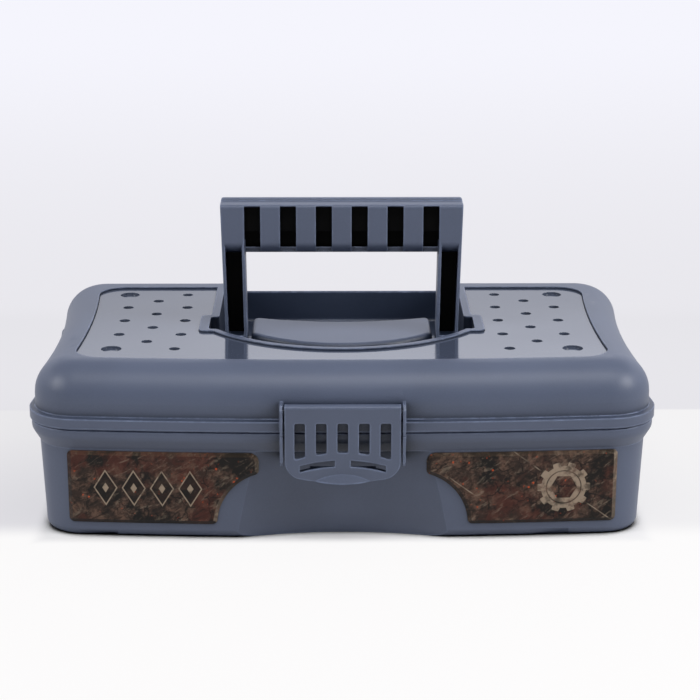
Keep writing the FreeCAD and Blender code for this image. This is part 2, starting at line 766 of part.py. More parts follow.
def make_front_latch():
    half = latch_width / 2
    front = latch_front - latch_lip_reach - spare
    outline = make_latch_outline(front, latch_axis_y + latch_barrel_radius + spare)
    body = make_latch_plate().common(outline)

    # Thumb lip: a hollow cone that stands out towards the foot of the latch.
    lip_top = latch_bottom + latch_lip_height
    lip_centre = V(0, latch_front + latch_lip_radius, latch_bottom)
    outer = Part.makeCone(latch_lip_radius + latch_lip_reach, latch_lip_radius, latch_lip_height, lip_centre)
    hollow = Part.makeCone(latch_lip_radius + latch_lip_reach - latch_thickness,
                           latch_lip_radius - latch_thickness, latch_lip_height, lip_centre)
    reach = box(-half, half, front, latch_back - loose_gap, latch_bottom, lip_top)
    under = box(-half, half, front, latch_back + spare, latch_bottom - spare, lip_top - latch_lip_skin)
    body = body.fuse(outer.common(reach).common(outline)).cut(hollow.common(under))

    # Pocket behind the slotted face, and below it the hooks that reach under the rim of the tub.
    catch_y = rim_front + base_flange_inset + hook_undercut
    hook_top = parting - hook_drop
    pocket = box(latch_side_wall - half, half - latch_side_wall, latch_front + latch_skin, latch_back + spare,
                 hook_top, parting + latch_slot_top_rise + latch_pocket_margin)
    body = body.cut(pocket)
    hook = side_plate([
        (latch_back - spare, hook_top), (catch_y, hook_top), (catch_y, hook_top - hook_nose),
        (latch_back - spare, hook_top - hook_root),
    ], latch_arc_inner, hook_outer)
    body = join([body] + both_sides(hook))

    pin_bore = rod_x(latch_pin_diameter / 2 + running_gap, -half - spare, half + spare, latch_axis_y, latch_axis_z)
    numbers = range(latch_slot_count)
    slots = [make_latch_slot((n - (latch_slot_count - 1) / 2) * latch_slot_pitch) for n in numbers]
    return body.cut([pin_bore] + slots + both_sides(make_arc_slot())).removeSplitter()


def make_latch_slot(x):
    """Slot through the face of the latch whose foot follows the round arc below it."""
    left = x - latch_slot_width / 2
    right = x + latch_slot_width / 2
    top = parting + latch_slot_top_rise
    foot = parting - latch_slot_bottom_drop
    slot = front_plate([
        (left, foot - left ** 2 / (2 * latch_arc_radius)), (right, foot - right ** 2 / (2 * latch_arc_radius)),
        (right, top), (left, top),
    ], latch_front - spare, latch_back)
    return slot.makeFillet(latch_slot_corner, edges_along_y(slot))


def make_arc_slot():
    """Curved slot through the latch that follows a round arc, on the right side."""
    def at(x, drop):
        z = parting - latch_arc_drop - drop - x ** 2 / (2 * latch_arc_radius)
        return V(x, latch_front - spare, z)

    middle = (latch_arc_inner + latch_arc_outer) / 2
    height = latch_arc_height
    wire = Part.Wire([
        arc(at(latch_arc_inner, 0), at(middle, 0), at(latch_arc_outer, 0)),
        line(at(latch_arc_outer, 0), at(latch_arc_outer, height)),
        arc(at(latch_arc_outer, height), at(middle, height), at(latch_arc_inner, height)),
        line(at(latch_arc_inner, height), at(latch_arc_inner, 0)),
    ])
    return Part.Face(wire).extrude(V(0, latch_thickness + 2 * spare, 0))


def make_latch_pin():
    half = guide_rib_x + guide_rib_width
    return rod_x(latch_pin_diameter / 2, -half, half, latch_axis_y, latch_axis_z)


def make_hinge_pin(middle):
    return rod_x(hinge_pin_diameter / 2, middle - hinge_length / 2, middle + hinge_length / 2,
                 hinge_axis_y, hinge_axis_z)


def make_label():
    """Right-hand label: a bevelled skin that follows the front of the tub, with a hollow inner edge."""
    knee = label_foot + math.sqrt(label_arc_radius ** 2 - (label_inner_x - label_arc_x) ** 2)
    arc_end = label_arc_x + label_arc_radius
    diagonal = label_arc_radius * math.sqrt(0.5)

    def at(x, z):
        return V(x, rim_front - wall, z)

    edges = [
        line(at(arc_end, label_foot), at(label_outer_x, label_foot)),
        line(at(label_outer_x, label_foot), at(label_outer_x, label_top)),
        line(at(label_outer_x, label_top), at(label_inner_x, label_top)),
        line(at(label_inner_x, label_top), at(label_inner_x, knee)),
        arc(at(label_inner_x, knee), at(label_arc_x + diagonal, label_foot + diagonal), at(arc_end, label_foot)),
    ]
    plate = Part.Face(Part.Wire(edges)).extrude(V(0, rim_depth / 2, 0))
    corners = edges_along_y(plate)
    shoulder = [e for e in corners if abs(e.BoundBox.XMin - label_inner_x) + abs(e.BoundBox.ZMin - label_top) < 1e-3]
    plate = plate.makeFillet(label_shoulder_radius, shoulder)
    sharp = [e for e in edges_along_y(plate) if any(e.BoundBox.Center.isEqual(c.BoundBox.Center, 1e-3) for c in corners)]
    plate = plate.makeFillet(label_corner_radius, sharp)

    back = skin_gap
    front = skin_gap + label_thickness
    outer = plan_loft(base_foot_inset - front, 0, base_wall_inset - front, base_flange_bottom)
    inner = plan_loft(base_foot_inset - back, -spare, base_wall_inset - back, base_flange_bottom + spare)
    skin = plate.common(outer).cut(inner)

    # The printed face comes first in the shell, so that every bevel is measured on it.
    faces = sorted(skin.Faces, key=lambda f: f.BoundBox.YMin - f.Area)
    skin = Part.Solid(Part.Shell(faces))
    return skin.makeChamfer(label_bevel_width, label_bevel_depth, skin.Faces[0].Edges)


def make_lift_out_tray():
    rim = plan_prism(lip_inner_inset + loose_gap, tray_ledge, tray_top)
    top_inset = base_wall_inset + wall + 2 * loose_gap
    foot_inset = top_inset + tray_draft
    body = plan_loft(foot_inset, tray_bottom, top_inset, tray_ledge)
    body = body.makeFillet(tray_foot_radius, edges_at(body, tray_bottom))
    body = body.cut(scoop_solid(wall + 2 * loose_gap, tray_ledge))
    body = join([rim, body])

    inside_floor = tray_bottom + tray_floor
    space = plan_loft(foot_inset + tray_wall, inside_floor, top_inset + tray_wall, tray_top)
    space = space.makeFillet(tray_foot_radius - tray_wall / 2, edges_at(space, inside_floor))
    space = space.cut(scoop_solid(wall + 2 * loose_gap + tray_wall, tray_top + spare))
    half = tray_wall / 2
    long_wall = box(-rim_width, rim_width, -half, half, tray_bottom, tray_top)
    cross = [box(x - half, x + half, 0, rim_depth, tray_bottom, tray_top) for x in (-tray_cross_x, tray_cross_x)]
    body = body.cut(space.cut([long_wall] + cross))

    grip = box(-tray_grip_half, tray_grip_half, -half, half, tray_top - tray_wall, tray_grip_top)
    grip = grip.makeFillet(tray_grip_radius, [e for e in edges_along_y(grip) if e.BoundBox.ZMin > tray_top])
    body = join([body, grip])
    hole_half = tray_grip_half - tray_hole_margin
    hole_top = tray_grip_top - tray_grip_bar
    hole = box(-hole_half, hole_half, -tray_wall, tray_wall, hole_top - tray_hole_height, hole_top)
    return body.cut(hole.makeFillet(tray_hole_radius, edges_along_y(hole))).removeSplitter()


label_right = make_label()
handle_pin_right = make_handle_pin()
pieces = {
    "base_tub": make_base_tub(),
    "label_right": label_right,
    "label_left": label_right.mirror(V(0, 0, 0), V(1, 0, 0)),
    "hinge_pin_left": make_hinge_pin(hinge_middles[0]),
    "hinge_pin_right": make_hinge_pin(hinge_middles[1]),
    "lift_out_tray": make_lift_out_tray(),
    "lid_shell": make_lid_shell(),
    "lid_top_panel": make_lid_top_panel(),
    "latch_pin": make_latch_pin(),
    "front_latch": make_front_latch(),
    "handle_frame": make_handle_frame(),
    "handle_core": make_handle_core(),
    "handle_pin_right": handle_pin_right,
    "handle_pin_left": handle_pin_right.mirror(V(0, 0, 0), V(1, 0, 0)),
}
for name, shape in pieces.items():
    solids = shape.Solids
    print(name, "solids", len(solids), "valid", shape.isValid(), "volume", round(shape.Volume, 1))
    if len(solids) != 1 or not shape.isValid():
        raise RuntimeError(name + " is not one sound solid")
    solids[0].exportStep("parts/" + name + ".step")
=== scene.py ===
import math

import bpy
import numpy as np
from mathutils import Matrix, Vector


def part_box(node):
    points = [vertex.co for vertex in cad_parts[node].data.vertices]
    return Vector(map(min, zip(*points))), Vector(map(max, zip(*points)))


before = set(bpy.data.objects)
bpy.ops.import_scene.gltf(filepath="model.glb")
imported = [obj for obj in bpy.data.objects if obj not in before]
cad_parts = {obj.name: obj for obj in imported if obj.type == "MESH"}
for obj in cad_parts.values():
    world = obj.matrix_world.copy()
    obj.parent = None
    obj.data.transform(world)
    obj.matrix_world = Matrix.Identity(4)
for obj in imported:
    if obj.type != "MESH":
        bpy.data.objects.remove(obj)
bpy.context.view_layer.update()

bl_info = {
    "name": "Tool storage caddy",
    "version": (1, 0, 0),
    "blender": (4, 5, 0),
    "location": "3D View > Sidebar > Caddy",
    "description": "Finishes and stage of a moulded tool storage caddy",
    "category": "Object",
}

MM = 0.001

# The display curve is straight up to its knee and a shifted power above it.
CURVE_KNEE = 0.04045
CURVE_SLOPE = 12.92
CURVE_SHIFT = 0.055
CURVE_POWER = 2.4

# Rays that a rounded edge or a deep corner is worked out from.
CORNER_SAMPLES = 6

# The values between which most of a cloudy noise lies.
NOISE_LOW = 0.3
NOISE_HIGH = 0.7

# Painted shade: what is left of red, green and blue in a deep corner.
PAINTED_SHADE_SHARE = (0.07, 0.11, 0.17)

# Sideways and upright share of a slanted side of a regular six-sided shape.
HEXAGON_SIDEWAYS = 0.866
HEXAGON_UPRIGHT = 0.5

# The floor is a square sheet a hair below the box, whose foot stands in from its rim.
FLOOR_HALF = 4.0
FLOOR_DROP = 0.02 * MM
FLOOR_POINTS = 3
FOOT_IN_SIDE = 6.0 * MM
FOOT_IN_FRONT = 11.0 * MM
FOOT_IN_BACK = 14.0 * MM

# Soft boxes, in metres: all face the middle of the box, and the left fill mirrors the right one.
LAMP_TARGET = (0.0, 0.0, 0.05)
KEY_PLACE = (0.1, -0.47, 1.03)
KEY_WIDTH = 0.9
KEY_HEIGHT = 0.5
RIGHT_FILL_PLACE = (0.8, -0.33, 0.56)
LEFT_FILL_PLACE = (-0.8, -0.33, 0.56)
FILL_SIDE = 0.35

SENSOR_WIDTH = 36.0


def display(red, green, blue):
    """Scene colour of an 8-bit display colour: the display curve undone, channel by channel."""
    share = np.array((red, green, blue)) / 255.0
    straight = share / CURVE_SLOPE
    curved = ((share + CURVE_SHIFT) / (1.0 + CURVE_SHIFT)) ** CURVE_POWER
    return tuple(float(part) for part in np.where(share <= CURVE_KNEE, straight, curved))


def colour_prop(name, description, default):
    """A colour that a user can change."""
    return bpy.props.FloatVectorProperty(
        name=name, description=description, default=default, size=3, min=0.0, max=1.0, subtype="COLOR"
    )


def length_prop(name, description, default):
    """A length in metres that a user can change."""
    return bpy.props.FloatProperty(
        name=name, description=description, default=default, unit="LENGTH", subtype="DISTANCE", precision=5
    )


def share_prop(name, description, default):
    """A share between nothing and all that a user can change."""
    return bpy.props.FloatProperty(
        name=name, description=description, default=default, min=0.0, max=1.0, subtype="FACTOR"
    )


def power_prop(name, description, default):
    """A lamp's power in watts that a user can change."""
    return bpy.props.FloatProperty(
        name=name, description=description, default=default, min=0.0, unit="POWER"
    )


class CaddyFinishes(bpy.types.PropertyGroup):
    """Colours and surface values of the moulded, printed and metal pieces."""

    slate: colour_prop("Slate", "Colour of the tub, lid, latch and handle", display(91, 100, 122))
    slate_roughness: share_prop("Slate roughness", "Roughness of the satin mouldings", 0.43)
    slate_gloss: share_prop("Slate gloss", "Mirror share of the satin mouldings and the tray", 0.5)
    grain_depth: length_prop("Grain depth", "Height of the fine moulded grain", 0.03 * MM)
    edge_round: length_prop("Edge round", "Radius that softens the moulded edges", 0.8 * MM)
    # Painted highlight: how far from an edge the mouldings are made lighter.
    highlight_width: length_prop("Rub width", "How far from an edge the mouldings are rubbed lighter", 1.2 * MM)
    # Painted shade: how much gaps, hollows and deep corners of the mouldings are darkened, and within what
    # distances.
    cavity: share_prop("Cavity tone", "How much deep corners of the mouldings darken", 0.92)
    cavity_reach: length_prop("Cavity reach", "Distance within which a wall darkens a gap", 18.0 * MM)
    hollow_reach: length_prop("Hollow reach", "Distance within which a piece darkens its hollows", 62.0 * MM)
    panel: colour_prop("Panel", "Colour of the polished inlay", display(76, 84, 103))
    panel_roughness: share_prop("Panel roughness", "Roughness of the polished inlay", 0.09)
    panel_round: length_prop("Panel round", "Radius that softens the edges of the inlay", 0.3 * MM)
    core: colour_prop("Core", "Colour of the black handle core", display(7, 7, 8))
    core_roughness: share_prop("Core roughness", "Roughness of the handle core", 0.7)
    core_gloss: share_prop("Core gloss", "Mirror share of the handle core", 0.12)
    tray: colour_prop("Tray", "Colour of the lift-out tray", display(52, 55, 63))
    tray_roughness: share_prop("Tray roughness", "Roughness of the lift-out tray", 0.45)
    steel: colour_prop("Steel", "Colour of the hinge and handle pins", display(176, 177, 180))
    black_steel: colour_prop("Blackened steel", "Colour of the latch pin", display(58, 61, 70))
    label_ground: colour_prop("Label ground", "Main colour of the print", display(52, 39, 33))
    label_patch: colour_prop("Label patch", "Worn lighter patches of the print", display(112, 86, 72))
    # Also the colour of the painted shade on the label borders.
    label_dark: colour_prop("Label dark", "Darkest patches of the print", display(17, 13, 11))
    label_rust: colour_prop("Label rust", "Reddish patches of the print", display(84, 40, 31))
    label_ember: colour_prop("Label ember", "Small bright specks of the print", display(226, 92, 46))
    # Also the colour of the painted highlight on the label borders.
    label_pale: colour_prop("Label pale", "Scratches and motif lines of the print", display(186, 166, 144))


class CaddyStage(bpy.types.PropertyGroup):
    """Floor, light and camera."""

    floor: colour_prop("Floor", "Colour of the table under the box", display(254, 253, 253))
    # Painted shadow of the box on the table beside it.
    floor_shade: colour_prop("Floor shade", "Colour of the table beside the box", display(224, 223, 228))
    backdrop_low: colour_prop("Backdrop low", "Background just behind the table", display(232, 231, 236))
    backdrop_high: colour_prop("Backdrop high", "Background at the top", display(245, 245, 253))
    table_edge: length_prop("Table edge", "Where the table ends behind the box", 109 * MM)
    room: colour_prop("Room", "Colour of the light from all round", display(238, 240, 251))
    ambient: share_prop("Ambient", "Light from all round", 0.36)
    room_glow: share_prop("Room glow", "Light behind the camera against that of the backdrop", 0.14)
    bounce: share_prop("Floor bounce", "How much of its light the floor gives back to the box", 0.6)
    key_power: power_prop("Key power", "Power of the soft box above the front", 5.2)
    fill_power: power_prop("Fill power", "Power of the soft box on the right", 4.2)
    left_share: share_prop("Left share", "Power of the soft box on the left against the right one", 0.7)
    camera_place: bpy.props.FloatVectorProperty(
        name="Camera place", description="Where the camera stands",
        size=3, subtype="TRANSLATION", unit="LENGTH", precision=4,
        default=(-5.5 * MM, -1006.4 * MM, 358.1 * MM)
    )
    camera_turn: bpy.props.FloatVectorProperty(
        name="Camera turn", description="Pitch, roll and yaw of the camera",
        size=3, subtype="EULER", unit="ROTATION",
        default=(math.radians(90.0 - 16.19), math.radians(-0.06), math.radians(-0.53))
    )
    lens: bpy.props.FloatProperty(
        name="Lens", description="Focal length on a 36 mm sensor", default=109.66, min=1.0, unit="CAMERA"
    )


class Nodes:
    """An emptied node tree with short-hands for the nodes in it."""

    def __init__(self, tree):
        self.tree = tree
        self.tree.nodes.clear()

    def node(self, kind, inputs=None, **settings):
        """Adds a node, sets its settings and joins or sets its inputs."""
        made = self.tree.nodes.new(kind)
        for key, value in settings.items():
            setattr(made, key, value)
        for key, value in (inputs or {}).items():
            self.feed(made.inputs[key], value)
        return made

    def feed(self, socket, value):
        """Joins a socket to another one, or writes a plain value on it."""
        if isinstance(value, bpy.types.NodeSocket):
            self.tree.links.new(value, socket)
        elif socket.type == "RGBA" and len(value) == 3:
            socket.default_value = (*value, 1.0)
        else:
            socket.default_value = value

    def math(self, operation, *values):
        """One number worked out from others."""
        return self.node("ShaderNodeMath", dict(enumerate(values)), operation=operation).outputs[0]

    def add(self, *values):
        """The sum of numbers."""
        total = values[0]
        for value in values[1:]:
            total = self.math("ADD", total, value)
        return total

    def minus(self, first, second):
        """The first number less the second."""
        return self.math("SUBTRACT", first, second)

    def times(self, *values):
        """The product of numbers."""
        total = values[0]
        for value in values[1:]:
            total = self.math("MULTIPLY", total, value)
        return total

    def most(self, *values):
        """The largest of numbers."""
        total = values[0]
        for value in values[1:]:
            total = self.math("MAXIMUM", total, value)
        return total

    def size(self, value):
        """A number without its sign."""
        return self.math("ABSOLUTE", value)

    def band(self, value, low, high, start=0.0, end=1.0):
        """Goes smoothly from start to end while value goes from low to high."""
        inputs = {"Value": value, "From Min": low, "From Max": high, "To Min": start, "To Max": end}
        return self.node("ShaderNodeMapRange", inputs, interpolation_type="SMOOTHSTEP").outputs["Result"]

    def blend(self, share, first, second):
        """A number between two numbers."""
        made = self.node("ShaderNodeMix", data_type="FLOAT")
        self.feed(made.inputs[0], share)
        self.feed(made.inputs[2], first)
        self.feed(made.inputs[3], second)
        return made.outputs[0]

    def parts(self, vector):
        """The three parts of a vector."""
        split = self.node("ShaderNodeSeparateXYZ", {0: vector})
        return split.outputs["X"], split.outputs["Y"], split.outputs["Z"]


class Finish(Nodes):
    """A new node material whose patterns lie on the object coordinates of its piece."""

    def __init__(self, name):
        self.material = bpy.data.materials.new(name)
        self.material.use_nodes = True
        super().__init__(self.material.node_tree)
        self.place = self.node("ShaderNodeTexCoord").outputs["Object"]

    def within(self, value, middle, half, soft):
        """One where value is nearer to middle than half, zero outside, with a soft border."""
        off = self.size(self.minus(value, middle))
        return self.band(off, low=half - soft, high=half + soft, start=1.0, end=0.0)

    def axes(self):
        """The three object coordinates, in metres."""
        return self.parts(self.place)

    def stretched(self, place, stretch):
        """A place scaled along each axis."""
        return self.node("ShaderNodeVectorMath", {0: place, 1: stretch}, operation="MULTIPLY").outputs[0]

    def turned(self, angle):
        """Object coordinates turned about Y."""
        inputs = {"Vector": self.place, "Axis": (0.0, 1.0, 0.0), "Angle": angle}
        return self.node("ShaderNodeVectorRotate", inputs).outputs[0]

    def noise(self, scale, detail=2.0, roughness=0.5, distortion=0.0, place=None):
        """Cloudy noise with scale features to the metre, on the object coordinates or on another place."""
        inputs = {
            "Vector": place or self.place,
            "Scale": scale,
            "Detail": detail,
            "Roughness": roughness,
            "Distortion": distortion,
        }
        return self.node("ShaderNodeTexNoise", inputs).outputs[0]

    def cells(self, scale):
        """Distance to the nearest of scattered points, with scale points to the metre."""
        return self.node("ShaderNodeTexVoronoi", {"Vector": self.place, "Scale": scale}).outputs["Distance"]

    def cracks(self, scale, wander, width):
        """One on the borders of broken plates, scale to the metre, that wander by a length and have a
        width."""
        bend_scale = 2.5 * scale
        bend = self.node("ShaderNodeTexNoise", {"Vector": self.place, "Scale": bend_scale, "Detail": 4.0})
        inputs = {0: bend.outputs["Color"], 1: (wander, wander, wander), 2: self.place}
        moved = self.node("ShaderNodeVectorMath", inputs, operation="MULTIPLY_ADD").outputs[0]
        inputs = {"Vector": moved, "Scale": scale}
        plates = self.node("ShaderNodeTexVoronoi", inputs, feature="DISTANCE_TO_EDGE")
        border = width * scale
        solid = 0.3 * border
        return self.band(plates.outputs["Distance"], low=solid, high=border, start=1.0, end=0.0)

    def slopes(self):
        """How far the surface faces along X and along Z."""
        across, _, upright = self.parts(self.node("ShaderNodeNewGeometry").outputs["Normal"])
        return across, upright

    def mix(self, share, first, second):
        """A colour between two colours."""
        made = self.node("ShaderNodeMix", data_type="RGBA")
        self.feed(made.inputs[0], share)
        self.feed(made.inputs[6], first)
        self.feed(made.inputs[7], second)
        return made.outputs[2]

    def soft_normal(self, radius):
        """The surface normal with its sharp edges rounded off at a radius."""
        return self.node("ShaderNodeBevel", {"Radius": radius}, samples=CORNER_SAMPLES).outputs[0]

    def edge_share(self, normal, full):
        """How much a rounded normal leaves the flat one: zero on a flat, one at an edge."""
        inputs = {0: self.node("ShaderNodeNewGeometry").outputs["Normal"], 1: normal}
        agree = self.node("ShaderNodeVectorMath", inputs, operation="DOT_PRODUCT").outputs["Value"]
        return self.band(self.minus(1.0, agree), low=0.0, high=full)

    def open_share(self, reach, own=False):
        """One on an open face, towards zero in a deep corner of any piece or of the own piece only."""
        inputs = {"Distance": reach}
        made = self.node("ShaderNodeAmbientOcclusion", inputs, samples=CORNER_SAMPLES, only_local=own)
        return made.outputs["AO"]

    def bump(self, height, distance, normal=None):
        """The normal of a relief of that height in metres."""
        inputs = {"Height": height, "Distance": distance, "Strength": 1.0}
        if normal is not None:
            inputs["Normal"] = normal
        return self.node("ShaderNodeBump", inputs).outputs[0]

    def done(self, **sockets):
        """Ends in one principled surface with these sockets, and gives the material."""
        inputs = {key.replace("_", " "): value for key, value in sockets.items()}
        surface = self.node("ShaderNodeBsdfPrincipled", inputs)
        self.node("ShaderNodeOutputMaterial", {"Surface": surface.outputs[0]})
        return self.material


def dress(material, *names):
    """Gives these CAD nodes a material in place of their plain one."""
    for name in names:
        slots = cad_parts[name].material_slots
        if len(slots) == 0:
            raise RuntimeError(f"{name} has no material slot")
        for slot in slots:
            slot.material = material


def shaded(colour, share):
    """A colour made lighter or darker by a share."""
    return tuple(min(1.0, part * share) for part in colour)


def painted_shade_colour(colour):
    """Painted shade colour of a deep corner: much darker, and least so in blue."""
    return tuple(part * share for part, share in zip(colour, PAINTED_SHADE_SHARE))


def moulded_plastic(name, colour, roughness, gloss, finishes):
    """Satin moulding: slow flow clouds, fine grain, a painted highlight along the edges and painted shade in
    gaps, hollows and corners.
    """
    look = Finish(name)
    clouds = look.noise(scale=22.0, detail=3.0)
    grain = look.noise(scale=1500.0, detail=3.0, roughness=0.6)
    highlight_breakup = look.noise(scale=160.0, detail=4.0, roughness=0.65)

    # Painted shade in gaps between pieces and in each piece's own hollows, kept off the foot next to the
    # floor.
    gap = look.open_share(finishes.cavity_reach)
    gap_shade = look.band(gap, low=0.15, high=0.75, start=finishes.cavity, end=0.0)
    hollow = look.open_share(finishes.hollow_reach, own=True)
    deep = look.band(hollow, low=0.55, high=1.0, start=finishes.cavity, end=0.0)
    off_floor = look.band(look.axes()[2], low=3.0 * MM, high=12.0 * MM)
    painted_shade = look.most(look.times(gap_shade, off_floor), deep)

    # Painted highlight along the edges, broken up by a patchy noise.
    edge = look.edge_share(look.soft_normal(finishes.highlight_width), full=0.05)
    worn = look.times(edge, look.band(highlight_breakup, low=0.4, high=0.65, start=0.375, end=0.75))

    darker = shaded(colour, 0.95)
    lighter = shaded(colour, 1.05)
    speckled = shaded(colour, 1.16)
    highlighted = shaded(colour, 2.4)
    tone = look.mix(look.band(clouds, NOISE_LOW, NOISE_HIGH), darker, lighter)
    tone = look.mix(look.band(grain, low=0.35, high=0.7, end=0.3), tone, speckled)
    # Painted shade in gaps, hollows and corners.
    tone = look.mix(painted_shade, tone, painted_shade_colour(colour))
    tone = look.mix(worn, tone, highlighted)
    spread = 0.06
    rough = look.add(roughness - spread, look.times(clouds, spread), look.times(grain, spread))
    normal = look.bump(grain, finishes.grain_depth, look.soft_normal(finishes.edge_round))
    return look.done(Base_Color=tone, Roughness=rough, Normal=normal, Specular_IOR_Level=gloss)


def polished_panel(name, finishes):
    """Polished moulding: a slow waviness, hair scratches along the box, a little dust and painted shade in
    narrow hollows.
    """
    look = Finish(name)
    colour = finishes.panel
    waves = look.noise(scale=16.0, detail=1.0)
    along_box = look.stretched(look.place, (1.0, 26.0, 1.0))
    hairs = look.noise(scale=60.0, detail=3.0, roughness=0.7, place=along_box)
    dust = look.band(look.cells(scale=420.0), low=0.02, high=0.10, start=1.0, end=0.0)
    # Painted shade: the inlay darkens towards black where walls stand within a few millimetres.
    painted_shade = look.band(look.open_share(reach=3.0 * MM), low=0.1, high=0.9, start=0.75, end=0.0)

    darker = shaded(colour, 0.97)
    lighter = shaded(colour, 1.04)
    dusty = shaded(colour, 1.8)
    black = shaded(colour, 0.1)
    dust_share = 0.25
    tone = look.mix(look.band(waves, NOISE_LOW, NOISE_HIGH), darker, lighter)
    tone = look.mix(look.times(dust, dust_share), tone, dusty)
    tone = look.mix(painted_shade, tone, black)
    scratch = look.band(hairs, low=0.55, high=0.75, end=0.05)
    dust_roughness = 0.3
    rough = look.add(finishes.panel_roughness, scratch, look.times(dust, dust_roughness))
    wave_height = 0.10 * MM
    normal = look.bump(waves, wave_height, look.soft_normal(finishes.panel_round))
    return look.done(Base_Color=tone, Roughness=rough, Normal=normal, Specular_IOR_Level=0.5)


def drawn_steel(name, colour):
    """Drawn wire: fine lines along the pin in its tone, roughness and relief."""
    look = Finish(name)
    along_pin = look.stretched(look.place, (0.02, 1.0, 1.0))
    lines = look.noise(scale=2600.0, place=along_pin)
    stain = look.band(look.noise(scale=260.0, detail=3.0), low=0.45, high=0.75)
    darker = shaded(colour, 0.8)
    stained = shaded(colour, 0.6)
    stain_share = 0.3
    tone = look.mix(look.band(lines, NOISE_LOW, NOISE_HIGH), darker, colour)
    tone = look.mix(look.times(stain, stain_share), tone, stained)
    bare_roughness = 0.26
    line_roughness = 0.16
    stain_roughness = 0.12
    rough = look.add(bare_roughness, look.times(lines, line_roughness), look.times(stain, stain_roughness))
    line_depth = 0.01 * MM
    return look.done(Base_Color=tone, Roughness=rough, Metallic=1.0, Normal=look.bump(lines, line_depth))


def printed_ground(look, finishes, clear):
    """Rust-brown print as a colour: stony patches, red and dark ones, slanted strata, cracks, scores outside
    clear, and embers."""
    across, _, upright = look.axes()
    patches = look.noise(scale=170.0, detail=10.0, roughness=0.74, distortion=0.3)
    deep = look.noise(scale=62.0, detail=8.0, roughness=0.68)
    red = look.noise(scale=36.0, detail=6.0, roughness=0.64)
    slanted = look.stretched(look.turned(math.radians(35.0)), (0.28, 1.0, 1.0))
    strata = look.noise(scale=420.0, detail=6.0, roughness=0.66, distortion=0.6, place=slanted)

    tone = look.mix(look.band(patches, low=0.44, high=0.62), finishes.label_ground, finishes.label_patch)
    tone = look.mix(look.band(red, low=0.48, high=0.6, end=0.7), tone, finishes.label_rust)
    tone = look.mix(look.band(deep, low=0.48, high=0.6), tone, finishes.label_dark)
    tone = look.mix(look.band(strata, low=0.54, high=0.7, end=0.32), tone, finishes.label_pale)
    tone = look.mix(look.band(strata, low=0.48, high=0.34, end=0.75), tone, finishes.label_dark)

    plates = look.cracks(scale=70.0, wander=9.0 * MM, width=0.45 * MM)
    crack = look.times(plates, look.band(deep, low=0.42, high=0.5, end=0.85))
    tone = look.mix(crack, tone, finishes.label_dark)

    wander = 2.0 * MM
    slope = 0.75
    spacing = 17.0 * MM
    slant = look.add(look.times(across, slope), upright, look.times(look.noise(scale=25.0), wander))
    score = look.within(look.math("PINGPONG", slant, spacing), middle=0.0, half=0.28 * MM, soft=0.14 * MM)
    broken = look.band(look.noise(scale=48.0, detail=3.0), low=0.46, high=0.58, end=0.75)
    tone = look.mix(look.times(score, broken, look.minus(1.0, clear)), tone, finishes.label_pale)

    specks = look.band(look.cells(scale=330.0), low=0.10, high=0.24, start=1.0, end=0.0)
    embers = look.times(specks, look.band(patches, low=0.54, high=0.6))
    return look.mix(embers, tone, finishes.label_ember)


def printed_film(look, tone, motif, finishes):
    """Film over a print: the motif in the pale colour, a painted highlight on the border's sides that face
    right and up, and painted shade on those that face down and left, a stony embossing and scuffs."""
    stone = look.noise(scale=420.0, detail=6.0, roughness=0.7)
    scuffs = look.band(look.noise(scale=240.0, detail=4.0, roughness=0.7), low=0.5, high=0.75)
    sideways, upwards = look.slopes()
    tone = look.mix(motif, tone, finishes.label_pale)
    # Painted highlight on the sides that face right and up, broken up by scuffs.
    lit = look.add(look.band(sideways, low=0.2, high=0.4), look.band(upwards, low=0.2, high=0.4, end=0.35))
    bare = look.band(scuffs, low=0.0, high=0.8, start=0.22, end=0.6)
    tone = look.mix(look.times(lit, bare), tone, finishes.label_pale)
    # Painted shade on the sides that face down and left.
    tone = look.mix(look.band(upwards, low=-0.2, high=-0.4, end=0.75), tone, finishes.label_dark)
    tone = look.mix(look.band(sideways, low=-0.2, high=-0.4, end=0.6), tone, finishes.label_dark)
    film_roughness = 0.3
    scuff_roughness = 0.2
    rough = look.add(film_roughness, look.times(scuffs, scuff_roughness))
    emboss_height = 0.2 * MM
    film_round = 0.4 * MM
    normal = look.bump(stone, emboss_height, look.soft_normal(film_round))
    return look.done(Base_Color=tone, Roughness=rough, Normal=normal, Specular_IOR_Level=0.2)


def lozenge_label(name, finishes, box):
    """Print with a row of four lozenges: each is the points whose sideways and upright distances add up
    alike."""
    look = Finish(name)
    across, _, upright = look.axes()
    low, high = box
    pitch = 13.0 * MM
    reach = 5.2 * MM
    steepness = 0.62
    half_row = 2.0 * pitch
    middle = low.x + 0.42 * (high.x - low.x)
    height = low.z + 0.5 * (high.z - low.z)
    to_positive = 10.0 * pitch

    shifted = look.add(across, half_row + to_positive - middle)
    local = look.minus(look.math("MODULO", shifted, pitch), 0.5 * pitch)
    rise = look.size(look.minus(upright, height))
    away = look.add(look.size(local), look.times(rise, steepness))
    row = look.within(across, middle=middle, half=half_row, soft=0.05 * MM)
    line = look.times(row, look.within(away, middle=reach, half=0.32 * MM, soft=0.12 * MM))
    core = look.times(row, look.within(away, middle=0.0, half=1.5 * MM, soft=0.15 * MM))
    inside = look.band(away, low=reach - 0.1 * MM, high=reach + 0.1 * MM, start=0.75, end=0.0)
    tone = look.mix(look.times(row, inside), printed_ground(look, finishes, row), finishes.label_dark)
    worn = look.band(look.noise(scale=300.0, detail=4.0), low=0.3, high=0.5, start=0.25, end=0.85)
    motif = look.times(look.add(line, core), worn)
    return printed_film(look, tone, motif, finishes)


